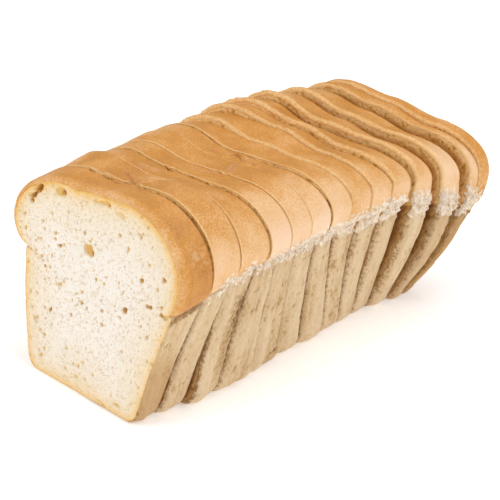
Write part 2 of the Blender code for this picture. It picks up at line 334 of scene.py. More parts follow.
def layered(points, layers, seed):
    """Noise with finer and weaker layers added."""
    total = np.zeros(points.shape[:-1])
    for layer in range(layers):
        total += 0.5**layer * noise(points * 2.0**layer + 17.3 * layer, seed + layer)
    return total


def eased(value, low, high):
    """0 below low, 1 above high, smooth between."""
    part = np.clip((value - low) / (high - low), 0.0, 1.0)
    return part * part * (3.0 - 2.0 * part)


class Plane:
    """The surface of a cut through the loaf."""

    def __init__(self, cut, gap=0.0, away=0.0):
        self.foot, self.waist, self.lean, self.turn = cut[:4]
        self.gap = gap
        self.away = away

    def y(self, x, z):
        """Place along the loaf of the surface at a point across and up."""
        lower = (self.waist - self.foot) / KNEE_HEIGHT
        above = z - KNEE_HEIGHT
        soft = (above + KNEE_REACH) ** 2 / (4.0 * KNEE_REACH)
        past = np.where(np.abs(above) > KNEE_REACH, np.maximum(above, 0.0), soft)
        right = np.clip(0.5 + 0.5 * x / BULGE_HALF, 0.0, 1.0)
        up = np.minimum(1.0, z / KNEE_HEIGHT)
        across = GAP_AT_LEFT + (1.0 - GAP_AT_LEFT) * right
        opening = self.gap * across * (GAP_AT_FOOT + (1.0 - GAP_AT_FOOT) * up)
        return (self.foot + lower * z + (self.lean - lower) * past + self.turn * x
                + self.away + opening)


def section_at(place, steps=(0.0, 0.0, 0.0)):
    """Outline sizes at a place along the loaf."""
    crown = [value_at(line, place) - step
             for line, step in zip((LEFT_LOBE, VALLEY, RIGHT_LOBE), steps)]
    rest = (WAIST_HEIGHT, BULGE_HEIGHT, LEFT_OFFSET, RIGHT_OFFSET)
    return np.array(crown + [value_at(line, place) for line in rest])


def half_outline(side, section, foot_half, waist_half, bulge_half, swell):
    """Points and zone numbers of half an outline, from under the middle to the valley."""
    left, valley, right, waist, bulge, left_offset, right_offset = section
    lobe, offset = (right, right_offset) if side > 0 else (left, left_offset)
    flat = foot_half - FOOT_CORNER
    counts = dict(STRETCHES)

    def along(name):
        return np.arange(1, counts[name] + 1) / counts[name]

    foot = along("foot")
    runs = [(flat * foot, 0.0 * foot)]
    turn = FOOT_CORNER_TURN * along("corner")
    runs.append((flat + FOOT_CORNER * np.sin(turn), FOOT_CORNER * (1.0 - np.cos(turn))))
    low_x, low_z = runs[-1][0][-1], runs[-1][1][-1]
    part = along("wall")
    wall_x = low_x + (waist_half - low_x) * part + swell * np.sin(math.pi * part)
    runs.append((wall_x, low_z + (waist - low_z) * part))
    part = along("crease")
    dip = CREASE_DEPTH * np.sin(math.pi * part * 0.75) - LIP_OUT * part
    runs.append((waist_half - dip, waist + 2.0 * LIP_RISE * part))
    turn = math.radians(90.0) * along("lip")
    lip_x, lip_z = runs[-1][0][-1], waist + 2.0 * LIP_RISE
    runs.append((lip_x + (bulge_half - lip_x) * np.sin(turn),
                 bulge - (bulge - lip_z) * np.cos(turn)))
    turn = math.radians(90.0) * along("dome")
    runs.append((offset + (bulge_half - offset) * np.cos(turn),
                 bulge + (lobe - bulge) * np.sin(turn)))
    part = along("valley")
    reach = offset - side * VALLEY_OFFSET
    dip = 0.5 - 0.5 * np.cos(math.pi * part)
    runs.append((offset - reach * part, lobe + (valley - lobe) * dip))
    x = np.concatenate([run[0] for run in runs])
    z = np.concatenate([run[1] for run in runs])
    return side * x, z


def zones():
    """Zone of each point of half an outline: its stretch's number plus how far along it is."""
    return np.concatenate([number + np.arange(1, count + 1) / count * 0.999
                           for number, (_, count) in enumerate(STRETCHES)])


def ring_of(number, section):
    """Closed outline of a slice, with the zone of each point."""
    lopside = FRONT_LOPSIDE if number == 0 else 0.0
    foot = FOOT_HALF + FOOT_SPREADS[number]
    waist = WAIST_HALF + lopside + WAIST_SPREADS[number]
    bulge = BULGE_HALF + CROWN_SPREADS[number]
    right = half_outline(1, section, foot, waist, bulge, WALL_SWELLS[number])
    left = half_outline(-1, section, foot, WAIST_HALF - lopside, bulge, LEFT_SWELL)
    half = zones()
    x = np.concatenate([[0.0], right[0], left[0][::-1][1:]])
    z = np.concatenate([[0.0], right[1], left[1][::-1][1:]])
    zone = np.concatenate([[0.0], half, half[::-1][1:]])
    x = x + CROWN_SHIFTS[number] * np.minimum(1.0, z / section[3])
    return x, z, zone


def evened(values):
    """Average along a closed ring, which takes the creases out of it."""
    total = np.zeros_like(values)
    for step in range(-EVEN_REACH, EVEN_REACH + 1):
        total += np.roll(values, step)
    return total / (2 * EVEN_REACH + 1)


def outward(x, z):
    """Unit direction away from the middle of a slice."""
    away = np.hypot(x, z - CENTRE_HEIGHT)
    return x / away, (z - CENTRE_HEIGHT) / away


def scar_marks(x, y, zone):
    """Depth of the crown's cracks and folds, in millimetres, how pink they are and the shade
    painted along their creases.
    """
    depth, pink, crease_shade = np.zeros_like(x), np.zeros_like(x), np.zeros_like(x)
    crown = eased(zone, 4.2, 4.8)
    wander = noise(np.stack([x / SCAR_WANDER, y / SCAR_WANDER, 0.0 * x], -1), 131)
    for line, width, deep, pinkness, darkness in SCARS:
        away = np.full_like(x, 99.0)
        for (x_a, y_a), (x_b, y_b) in zip(line, line[1:]):
            run_x, run_y = x_b - x_a, y_b - y_a
            share = ((x - x_a) * run_x + (y - y_a) * run_y) / (run_x**2 + run_y**2)
            share = np.clip(share, 0.0, 1.0)
            near = np.hypot(x - x_a - share * run_x, y - y_a - share * run_y)
            away = np.minimum(away, near)
        away = np.maximum(away + 0.8 * width * wander, 0.0)
        crease = np.exp(-((away / width) ** 2))
        ridge = np.exp(-(((away - 2.1 * width) / width) ** 2))
        depth += SCAR_DEPTH * deep * (crease - 0.6 * ridge)
        pink = np.maximum(pink, pinkness * (1.0 - eased(away, 0.9 * width, 2.6 * width)))
        # Painted shade along each crease.
        crease_shade = np.maximum(crease_shade, darkness * crease)
    return depth * crown, pink * crown, crease_shade * crown


def torn_share(number, place):
    """How torn the ledge is; the second and third slices have one clump each."""
    if number not in CLUMPS:
        return TORN[number] + 0.0 * place
    clump = np.exp(-(((place - CLUMPS[number]) / CLUMP_WIDTH) ** 2))
    return TORN[number] * (0.25 + 0.95 * clump)


def crust_relief(number, sizes, x, y, z, zone, place, thick):
    """How far the crust stands out at each point, in millimetres, and the walls' grain, which
    follows that relief and so paints light on the ridges and shade in the furrows and pits.
    """
    wall = eased(zone, 0.9, 1.6) * (1.0 - eased(zone, 2.9, 3.2))
    torn = torn_share(number, place)
    torn = torn * eased(zone, 2.82, 2.97) * (1.0 - eased(zone, 4.4, 4.85))
    crown = eased(zone, 4.1, 4.7)
    run = place * thick + 37.0 * number
    side = np.sign(x) * 5.0

    def marks(size):
        return np.stack([run / size[0], z / size[1], side], -1)

    grooves = layered(marks(GROOVE_SIZE), 1, 11)
    furrows = layered(marks(FURROW_SIZE), 2, 17)
    fibres = layered(marks(FIBRE_SIZE), 2, 23)
    pits = eased(noise(marks(PIT_SIZE), 31), 0.5, 0.85)
    low = sizes.wall_ripple / MM * (0.8 * grooves + 0.22 * furrows + 0.16 * fibres)
    low -= PIT_DEPTH * pits
    pillow = np.abs(2.0 * place - 1.0) ** 2.6
    if number == 0:
        pillow = pillow * (place > 0.5)
    low -= sizes.wall_pillow / MM * pillow * (0.7 + 0.6 * hashed(np.array([number, 3, 5]), 7))
    tufts = layered(np.stack([(y + 0.45 * z) / 1.3, (z - 0.3 * y) / 3.0, x / 9.0], -1), 3, 47)
    wide, deep, tall = SWELL_SIZE
    swell = layered(np.stack([x / wide, y / deep, z / tall], -1), 2, 59)
    dimples = layered(np.stack([x, y, z], -1) / DIMPLE_SIZE, 2, 61)
    high = SWELL_HEIGHT * swell + DIMPLE_HEIGHT * dimples
    out = wall * low + torn * sizes.shred_relief / MM * tufts + crown * high - CRUST_INSET
    # The grain rises and falls with the relief above: it paints the walls paler on ridges and
    # darker in furrows and pits, as light and shade.
    grain = 0.58 + 0.22 * grooves + 0.10 * furrows + 0.10 * fibres - 0.3 * pits
    return out, np.clip(grain, 0.0, 1.0)


def front_pits(sizes, x, z):
    """Depth of the holes in the front crumb face, in millimetres."""
    depth = np.zeros_like(x)
    for at_x, at_z, wide, high, slant, deep in FRONT_HOLES:
        turn = math.radians(slant)
        across = (x - at_x) * math.cos(turn) + (z - at_z) * math.sin(turn)
        up = (z - at_z) * math.cos(turn) - (x - at_x) * math.sin(turn)
        wobble = 1.0 + 0.45 * layered(np.stack([x / 1.9, z / 1.9, 0 * x], -1), 2, 71)
        reach = ((across / wide) ** 2 + (up / high) ** 2) * wobble
        depth = np.maximum(depth, deep * np.clip(1.4 * (1.0 - reach), 0.0, 1.0) ** 0.7)
    rng = np.random.default_rng(PORE_SEED)
    count = int(sizes.pore_count)
    spots = np.stack([rng.uniform(*PORES_ACROSS, count), rng.uniform(*PORES_UP, count)], -1)
    keep = rng.uniform(0, 1, count) < 0.45 + 0.5 * eased(-spots[:, 0] - 0.5 * spots[:, 1], -60, 20)
    spots = spots[keep]
    radii = PORE_RADIUS + PORE_GROWTH * rng.power(0.26, len(spots))
    for (at_x, at_z), radius in zip(spots, radii):
        near = np.abs(x - at_x) < radius
        near &= np.abs(z - at_z) < radius
        if not near.any():
            continue
        reach = ((x[near] - at_x) ** 2 + (z[near] - at_z) ** 2) / radius**2
        steep = np.clip(1.8 * (1.0 - reach), 0.0, 1.0)
        depth[near] = np.maximum(depth[near], radius * PORE_DEPTH * steep)
    return depth


def crumb_relief(x, y, z, edge):
    """Uneven surface of a cut face away from its crust, in millimetres."""
    cells = layered(np.stack([x / 1.5, y / 6.0, z / 1.5], -1), 2, 83)
    holes = eased(noise(np.stack([x / 1.25, y / 9.0, z / 1.25], -1), 89), 0.25, 0.65)
    return (0.3 * cells + 0.45 * holes) * eased(edge, 0.2, 1.0), 0.6 * holes


def edge_rounds(number, sizes, x, z, on_wall):
    """Rounding of a slice's front and back edges at each point, in millimetres."""
    rough = 1.0 + 0.45 * noise(np.stack([x / 7.0, 0 * x + 9.0 * number, z / 7.0], -1), 97)
    soft = sizes.wall_round / MM * on_wall + sizes.crown_round / MM * (1.0 - on_wall)
    front_round = soft * rough
    back_round = soft * rough
    if number >= STEPPED_FROM:
        front_round = front_round + sizes.step_round / MM * (1.0 - on_wall)
    if number == 0:
        front_round = (0.8 + 1.9 * (1.0 - on_wall)) * (0.6 + 0.4 * rough)
    if number == HEEL:
        low, high = HEEL_SIDE_SHARES
        sideways = np.abs(x) / np.hypot(x, z - CENTRE_HEIGHT)
        side = np.clip((sideways - low) / (high - low), 0.0, 1.0)
        back_round = HEEL_ROUND + (HEEL_SIDE_ROUND - HEEL_ROUND) * side
    return front_round, back_round


def blister_highlight_at(x, y, z):
    """Share of the front slice's blistered patch at each point, which raises the crust and paints
    pale pink highlight spots on it.
    """
    at_y, at_z, half = BLISTER_HIGHLIGHT
    patch = ((y - at_y) / half) ** 2 + ((z - at_z) / half) ** 2
    spots = layered(np.stack([x / 1.6, y / 1.3, z / 1.6], -1), 2, 151)
    return np.exp(-patch) * (x > 0.0) * eased(spots, 0.0, 0.6)


def build_rows(number, front, back, sizes):
    """Rows of points from the front cut to the back cut, with their masks."""
    steps = HEEL_END[5:8] if number == HEEL else CUTS[number][5:8]
    near = section_at(float(front.y(0.0, KNEE_HEIGHT)))
    far = section_at(float(back.y(0.0, KNEE_HEIGHT)), steps)
    middle = [(step + 1) / (sizes.rows + 1) for step in range(sizes.rows)]
    plan = [("front", turn, 0.0) for turn in EDGE_TURNS]
    plan += [("middle", 0.0, share) for share in middle]
    plan += [("back", turn, 1.0) for turn in EDGE_TURNS[::-1]]
    rows = []
    for kind, turn, share in plan:
        section = near + (far - near) * share
        x, z, zone = ring_of(number, section)
        on_wall = 1.0 - eased(zone, 3.0, 3.6)
        y_front = front.y(x, z)
        y_back = back.y(x, z)
        if number == HEEL:
            part = np.clip((z - section[3]) / (section[4] - section[3]), 0.0, 1.0)
            y_back = y_back + HEEL_OVERHANG * np.sin(math.radians(90.0) * part)
        front_round, back_round = edge_rounds(number, sizes, x, z, on_wall)
        if kind == "front":
            inset = front_round * (1.0 - math.sin(turn))
            y = y_front + front_round * (1.0 - math.cos(turn))
        elif kind == "back":
            inset = back_round * (1.0 - math.sin(turn))
            y = y_back - back_round * (1.0 - math.cos(turn))
        else:
            inset = 0.0 * x
            start = y_front + front_round
            y = start + (y_back - back_round - start) * share
        thick = y_back - y_front
        place = np.clip((y - y_front) / np.maximum(thick, 1.0), 0.0, 1.0)
        out, grain = crust_relief(number, sizes, x, y, z, zone, place, thick)
        if number >= STEPPED_FROM:
            grit = layered(np.stack([x / 1.2, y / 1.2, z / 1.2], -1), 2, 113)
            near_front = (1.0 - eased(place, 0.05, 0.24)) * (1.0 - on_wall)
            out = out + RIDGE_GRIT * grit * near_front
        depth, pink, crease_shade = scar_marks(x, y, zone)
        if number == 0:
            # The patch's spots are painted highlight in pink, over a slight rise.
            blister_highlight = blister_highlight_at(x, y, z)
            pink = np.maximum(pink, blister_highlight)
            depth = depth - BLISTER_RISE * blister_highlight
        out = out - inset - depth
        across, up = outward(x, z)
        x_out = x + across * out
        z_out = np.maximum(z + up * out, 0.0)
        rows.append((x_out, y, z_out, zone, place, grain, pink, crease_shade))
    return rows


def face_rings(number, side, sizes):
    """Shares of the way out from a cut face's middle at which its rings lie."""
    if number == 0 and side < 0:
        return 1.0 - np.arange(1, sizes.face_rings + 1) / (sizes.face_rings + 0.5)
    near = 1.0 - np.array(FACE_DISTANCES) / FACE_HALF
    return np.concatenate([near, FACE_SHARES])


def face_relief(number, side, sizes, x, y, z, edge):
    """How far a cut face's points sink in, in millimetres, and how deep in a pore they are."""
    if number == HEEL and side > 0:
        sink = 0.35 * layered(np.stack([x / 9.0, 0 * x, z / 9.0], -1), 2, 101)
        return sink * eased(edge, 0.0, 6.0), 0.0 * x
    if number == 0 and side < 0:
        deep = front_pits(sizes, x, z)
        soft = 0.10 * layered(np.stack([x / 1.3, 0 * x, z / 1.1], -1), 2, 83)
        return (deep + soft) * eased(edge, 0.2, 1.2), np.clip(deep / 2.2, 0.0, 1.0)
    return crumb_relief(x, y + 40.0 * number, z, edge)


def slice_mesh(number, sizes):
    """Vertices, faces, material numbers and masks of one slice."""
    before = CUTS[number - 1] if number else None
    front = Plane(before, before[4], CLEARANCE - CLOSER) if number else Plane(FRONT_FACE)
    back = Plane(HEEL_END) if number == HEEL else Plane(CUTS[number], away=CLOSER)
    rows = build_rows(number, front, back, sizes)
    count = len(rows[0][0])
    points, masks, faces, kinds, loose = [], [], [], [], []
    for x, y, z, zone, place, grain, pink, crease_shade in rows:
        points.append(np.stack([x, y, z], -1))
        marks = mask_block(x, z, zone, 0.0 * x, place, grain, number)
        marks[:, -2:] = np.stack([pink, crease_shade], -1)
        masks.append(marks)
    ring = np.arange(count)
    after = (ring + 1) % count
    for row in range(len(rows) - 1):
        a, b = row * count, (row + 1) * count
        faces.append(np.stack([a + ring, a + after, b + after, b + ring], -1))
        kinds.append(np.zeros(count, np.int32))
    total = len(rows) * count
    for at, plane, side in ((0, front, -1), (len(rows) - 1, back, 1)):
        x, y, z, zone = rows[at][:4]
        even_x, even_z = evened(x), evened(z)
        kind = 0 if number == HEEL and side > 0 else 1
        last = at * count
        for share in (*face_rings(number, side, sizes), 0.0):
            even = 1.0 - eased(share, 0.72, 0.97)
            rx = (x + (even_x - x) * even) * share + CROWN_SHIFTS[number] * 0.5 * (1.0 - share)
            rz = CENTRE_HEIGHT + (z + (even_z - z) * even - CENTRE_HEIGHT) * share
            edge = np.hypot(x - rx, z - rz)
            ry = y + plane.y(rx, rz) - plane.y(x, z)
            sink, pit = face_relief(number, side, sizes, rx, ry, rz, edge)
            half = 0.5 + 0.0 * rx
            if share == 0.0:
                points.append(np.array([[rx[0], float(ry.mean()), rz[0]]]))
                masks.append(mask_block(rx[:1], rz[:1], 0.0 * zone[:1] + 5.0, edge[:1] + 40.0,
                                        half[:1], pit[:1], number))
                for a, b in zip(last + ring, last + after):
                    corner = (a, b, total)
                    loose.append((corner if side > 0 else corner[::-1], kind))
                total += 1
                continue
            points.append(np.stack([rx, ry - side * sink, rz], -1))
            masks.append(mask_block(rx, rz, zone, edge, half, pit, number))
            quads = np.stack([last + ring, last + after, total + after, total + ring], -1)
            faces.append(quads if side > 0 else quads[:, ::-1])
            kinds.append(np.full(count, kind, np.int32))
            last = total
            total += count
    return np.concatenate(points), faces, kinds, loose, np.concatenate(masks)


def groove_shade_mask(number, x, z, zone, place, rim):
    """Painted shade in the grooves between slices, in a band down the third slice's wall and under
    the front slice's lip, from 0 to 1; near the cuts it also stands for browner crust.
    """
    groove_shade = np.maximum(eased(place, 0.86, 1.0), 0.6 * rim)
    # The band down the third slice's wall is painted shade only: the wall has no recess there.
    hollow_shade = (number == 2) * (0.35 + 0.5 * eased(place, 0.4, 0.95)) * eased(place, 0.32, 0.5)
    hollow_shade = hollow_shade * eased(z, 6.0, 40.0)
    # Painted shade low on both sides of the cut between the second and third slices.
    if number in (1, 2):
        beside = eased(place, 0.72, 1.0) if number == 1 else 1.0 - eased(place, 0.0, 0.14)
        hollow_shade = np.maximum(hollow_shade, 0.9 * beside * (1.0 - eased(z, 30.0, 50.0)))
    groove_shade = np.maximum(groove_shade, hollow_shade * (1.0 - eased(zone, 2.7, 3.0)))
    # Painted shade under the front slice's lip on its right side.
    if number == 0:
        under = eased(zone, 2.88, 2.97) * (1.0 - eased(zone, 3.05, 3.3)) * (x > 0.0)
        groove_shade = np.maximum(groove_shade, 0.9 * under)
    return groove_shade


def mask_block(x, z, zone, edge, place, grain, number):
    """Masks for the materials, in the order of MASKS; the last two are left at 0."""
    wall = 1.0 - eased(zone, 3.1, 4.2)
    torn = np.minimum(torn_share(number, place), 1.0)
    torn = torn * eased(zone, 2.86, 2.98) * (1.0 - eased(zone, 4.35, 4.95))
    high = eased(z, 62.0, 88.0)
    side = np.maximum(eased(x, 24.0, 52.0), eased(-x, 24.0, 52.0))
    # Shoulders: paler crust and painted sheen, strongest at mid-lobe.
    pale_and_sheen_share = side * (1.0 - 0.7 * high) * (0.5 + 0.5 * eased(z, 61.0, 74.0))
    baked = (BAKED_NEAR if number < FAR_FROM else BAKED_FAR) - PALE_AND_SHEEN[number] * pale_and_sheen_share
    browned = HEEL_BROWN.get(number, 0.0) * np.ones_like(x)
    if number == 0:
        baked = baked - 0.2 * (1.0 - eased(place, 0.02, 0.34))
        browned = 0.55 * (1.0 - eased(z, 22.0, 40.0)) * eased(x, 30.0, 36.0)
    # The rim marks each inner slice's front edge, where the crown's painted highlight line and
    # part of the painted groove shade lie.
    wide = 0.26 if number >= STEPPED_FROM else 0.12
    rim = (1.0 - eased(place, 0.0, wide)) * (1.0 if number else 0.0)
    # Painted shade in the grooves, the third slice's band and under the lip; partly browner crust
    # near the cuts.
    groove_shade = groove_shade_mask(number, x, z, zone, place, rim)
    none = np.zeros_like(x)
    return np.stack([wall, torn, baked, edge, grain, rim, groove_shade, browned, none, none], -1)


def make_piece(number, sizes, crust, crumb):
    """Adds one slice in place of its solid."""
    points, faces, kinds, loose, masks = slice_mesh(number, sizes)
    name = f"slice_{number + 1:02d}"
    mesh = bpy.data.meshes.new(name + "_bread")
    quads = np.concatenate(faces)
    triangles = np.array([corner for corner, _ in loose])
    corners = np.concatenate([quads.ravel(), triangles.ravel()])
    totals = np.concatenate([np.full(len(quads), 4), np.full(len(triangles), 3)])
    starts = np.concatenate([[0], np.cumsum(totals)[:-1]])
    place = (points - np.array([ORIGIN[0], ORIGIN[1], 0.0])) * MM
    mesh.vertices.add(len(place))
    mesh.vertices.foreach_set("co", place.astype(np.float32).ravel())
    mesh.loops.add(len(corners))
    mesh.loops.foreach_set("vertex_index", corners.astype(np.int32))
    mesh.polygons.add(len(totals))
    mesh.polygons.foreach_set("loop_start", starts.astype(np.int32))
    mesh.polygons.foreach_set("loop_total", totals.astype(np.int32))
    slots = np.concatenate(kinds + [np.array([kind for _, kind in loose])])
    mesh.polygons.foreach_set("material_index", slots.astype(np.int32))
    mesh.update(calc_edges=True)
    mesh.validate()
    for column, mask in enumerate(MASKS):
        layer = mesh.attributes.new(mask, "FLOAT", "POINT")
        layer.data.foreach_set("value", masks[:, column].astype(np.float32))
    mesh.materials.append(crust)
    mesh.materials.append(crumb)
    mesh.shade_smooth()
    piece = bpy.data.objects.new(name + "_bread", mesh)
    bpy.context.scene.collection.objects.link(piece)
    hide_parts(name)
    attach(piece, "root")


# Materials


class Graph:
    """Short names for making and joining a material's nodes."""

    def __init__(self, name):
        self.material = bpy.data.materials.new(name)
        self.material.use_nodes = True
        self.tree = self.material.node_tree
        self.shader = self.tree.nodes["Principled BSDF"]
        self.place = self.tree.nodes.new("ShaderNodeTexCoord").outputs["Object"]

    def put(self, socket, value):
        """Joins a node's output to a socket, or sets the socket's value."""
        if isinstance(value, bpy.types.NodeSocket):
            self.tree.links.new(value, socket)
        elif value is not None:
            socket.default_value = value

    def mask(self, name):
        """One of the masks that a slice's mesh carries."""
        node = self.tree.nodes.new("ShaderNodeAttribute")
        node.attribute_name = name
        return node.outputs["Fac"]

    def math(self, operation, a, b=None, clamp=False):
        node = self.tree.nodes.new("ShaderNodeMath")
        node.operation = operation
        node.use_clamp = clamp
        self.put(node.inputs[0], a)
        self.put(node.inputs[1], b)
        return node.outputs[0]

    def spread(self, value, low, high, to_low=0.0, to_high=1.0):
        """Maps low..high to to_low..to_high smoothly."""
        node = self.tree.nodes.new("ShaderNodeMapRange")
        node.interpolation_type = "SMOOTHSTEP"
        self.put(node.inputs["Value"], value)
        self.put(node.inputs["From Min"], low)
        self.put(node.inputs["From Max"], high)
        self.put(node.inputs["To Min"], to_low)
        self.put(node.inputs["To Max"], to_high)
        return node.outputs["Result"]

    def scaled(self, size_mm, stretch):
        """The place in units of a size, stretched along x, y and z."""
        node = self.tree.nodes.new("ShaderNodeVectorMath")
        node.operation = "MULTIPLY"
        self.put(node.inputs[0], self.place)
        self.put(node.inputs[1], tuple(1.0 / (MM * size_mm) / part for part in stretch))
        return node.outputs[0]

    def noise(self, size_mm, detail=2.0, stretch=(1.0, 1.0, 1.0), rough=0.5):
        node = self.tree.nodes.new("ShaderNodeTexNoise")
        self.put(node.inputs["Vector"], self.scaled(size_mm, stretch))
        self.put(node.inputs["Scale"], 1.0)
        self.put(node.inputs["Detail"], detail)
        self.put(node.inputs["Roughness"], rough)
        return node.outputs["Fac"]

    def cells(self, size_mm, stretch=(1.0, 1.0, 1.0)):
        """Distance from the middle of the nearest cell."""
        node = self.tree.nodes.new("ShaderNodeTexVoronoi")
        self.put(node.inputs["Vector"], self.scaled(size_mm, stretch))
        self.put(node.inputs["Scale"], 1.0)
        return node.outputs["Distance"]

    def mix(self, share, a, b):
        node = self.tree.nodes.new("ShaderNodeMix")
        node.data_type = "RGBA"
        self.put(node.inputs["Factor"], share)
        self.put(node.inputs[6], a if isinstance(a, bpy.types.NodeSocket) else (*a, 1.0))
        self.put(node.inputs[7], b if isinstance(b, bpy.types.NodeSocket) else (*b, 1.0))
        return node.outputs[2]

    def ramp(self, value, stops):
        node = self.tree.nodes.new("ShaderNodeValToRGB")
        steps = node.color_ramp.elements
        while len(steps) < len(stops):
            steps.new(0.5)
        for step, (place, tint) in zip(steps, stops):
            step.position = place
            step.color = (*tint, 1.0)
        self.put(node.inputs["Fac"], value)
        return node.outputs["Color"]

    def bump(self, height, distance_mm, strength=1.0):
        node = self.tree.nodes.new("ShaderNodeBump")
        self.put(node.inputs["Height"], height)
        self.put(node.inputs["Distance"], distance_mm * MM)
        self.put(node.inputs["Strength"], strength)
        self.put(self.shader.inputs["Normal"], node.outputs["Normal"])


def crown_colour(g, colours):
    """Baked crown, with its specks and scars, a painted highlight along each slice's front edge
    and painted shade at the back edges and in the grooves.
    """
    blotch = g.noise(14.0, 3.0)
    speck = g.noise(0.8, 3.0, rough=0.75)
    tone = g.math("ADD", g.mask("baked"), g.spread(blotch, 0.3, 0.7, -0.10, 0.10))
    tone = g.math("ADD", tone, g.spread(speck, 0.3, 0.7, -0.14, 0.14))
    crown = g.ramp(tone, (
        (0.0, colours.crust_pale), (0.35, colours.crust_light),
        (0.62, colours.crust_golden), (0.88, colours.crust_brown), (1.0, colours.crust_dark),
    ))
    crown = g.mix(g.math("MULTIPLY", g.mask("pink"), 0.5), crown, colours.crust_pink)
    # Painted shade along the scars' creases.
    crown = g.mix(g.math("MULTIPLY", g.mask("crease_shade"), 0.8), crown, colours.crust_dark)
    # Painted highlight: a bright line along each slice's rounded front edge, broken up by grit.
    grit = g.spread(g.noise(1.3, 2.0), 0.35, 0.6, 0.55, 1.0)
    line = g.math("MULTIPLY", g.spread(g.mask("rim"), 0.35, 1.0), 0.85)
    crown = g.mix(g.math("MULTIPLY", line, grit), crown, colours.crust_edge_highlight)
    # Painted shade: browner towards the back edges and in the grooves.
    shade = g.math("MULTIPLY", g.spread(g.mask("groove_shade"), 0.4, 1.0), 0.5)
    return g.mix(shade, crown, colours.crust_brown)


def wall_colour(g, colours):
    """Pale walls with streaks up them and tan places; over their own streaks they are painted
    darker in the relief's furrows and pits and lighter on its ridges, with painted shade in the
    grooves between slices.
    """
    fibre = g.noise(0.8, 3.0, stretch=(1.0, 1.0, 2.0), rough=0.65)
    grain = g.math("ADD", g.mask("grain"), g.spread(fibre, 0.3, 0.7, -0.13, 0.13))
    patch = g.noise(11.0, 2.0, stretch=(1.0, 1.0, 2.0))
    grain = g.math("ADD", grain, g.spread(patch, 0.3, 0.7, -0.12, 0.12))
    side = g.ramp(grain, (
        (0.0, colours.wall_groove_shade), (0.16, colours.wall_dark_and_furrow_shade), (0.5, colours.wall_mid),
        (0.95, colours.wall_pale_and_ridge_light),
    ))
    tanned = g.math("MULTIPLY", g.mask("browned"), g.spread(g.mask("grain"), 0.3, 0.6, 0.35, 1.0))
    side = g.mix(tanned, side, colours.wall_tan)
    # Painted shade in the grooves between slices and in scattered pits.
    pitted = g.spread(g.noise(1.6, 2.0), 0.3, 0.7, -0.25, 0.2)
    pitted = g.math("ADD", g.mask("groove_shade"), pitted)
    shade = g.math("MULTIPLY", g.spread(pitted, 0.3, 1.0), 0.88)
    return g.mix(shade, side, colours.wall_groove_shade)


def shred_colour(g, colours):
    """Torn threads of crumb, lightest at their tips."""
    tuft = g.noise(0.9, 3.0, stretch=(1.0, 1.0, 3.0), rough=0.7)
    return g.ramp(g.spread(tuft, 0.3, 0.7), (
        (0.0, colours.shred_shade), (0.3, colours.shred), (0.8, colours.shred_white),
    ))


def crust_material(colours):
    """Golden crown, paler tin walls and the torn shred between them."""
    g = Graph("golden crust")
    wall, torn = g.mask("wall"), g.mask("torn")
    ragged = g.math("ADD", torn, g.spread(g.noise(2.4, 3.0), 0.3, 0.7, -0.32, 0.38))
    ragged = g.math("MULTIPLY", g.spread(ragged, 0.3, 0.7), g.spread(torn, 0.0, 0.12))
    crust = g.mix(wall, crown_colour(g, colours), wall_colour(g, colours))
    g.put(g.shader.inputs["Base Color"], g.mix(ragged, crust, shred_colour(g, colours)))
    rough = g.spread(g.math("MAXIMUM", wall, ragged), 0.0, 1.0, 0.42, 0.9)
    g.put(g.shader.inputs["Roughness"], rough)
    g.put(g.shader.inputs["Specular IOR Level"], 0.35)
    fine = g.noise(0.7, 3.0, rough=0.6)
    coarse = g.noise(1.0, 3.0, stretch=(1.0, 1.0, 2.0), rough=0.65)
    deep = g.math("MULTIPLY", coarse, g.math("MAXIMUM", wall, torn))
    height = g.math("ADD", g.math("MULTIPLY", fine, 0.6), g.math("MULTIPLY", deep, 1.5))
    g.bump(height, 0.5, 0.7)
    return g.material


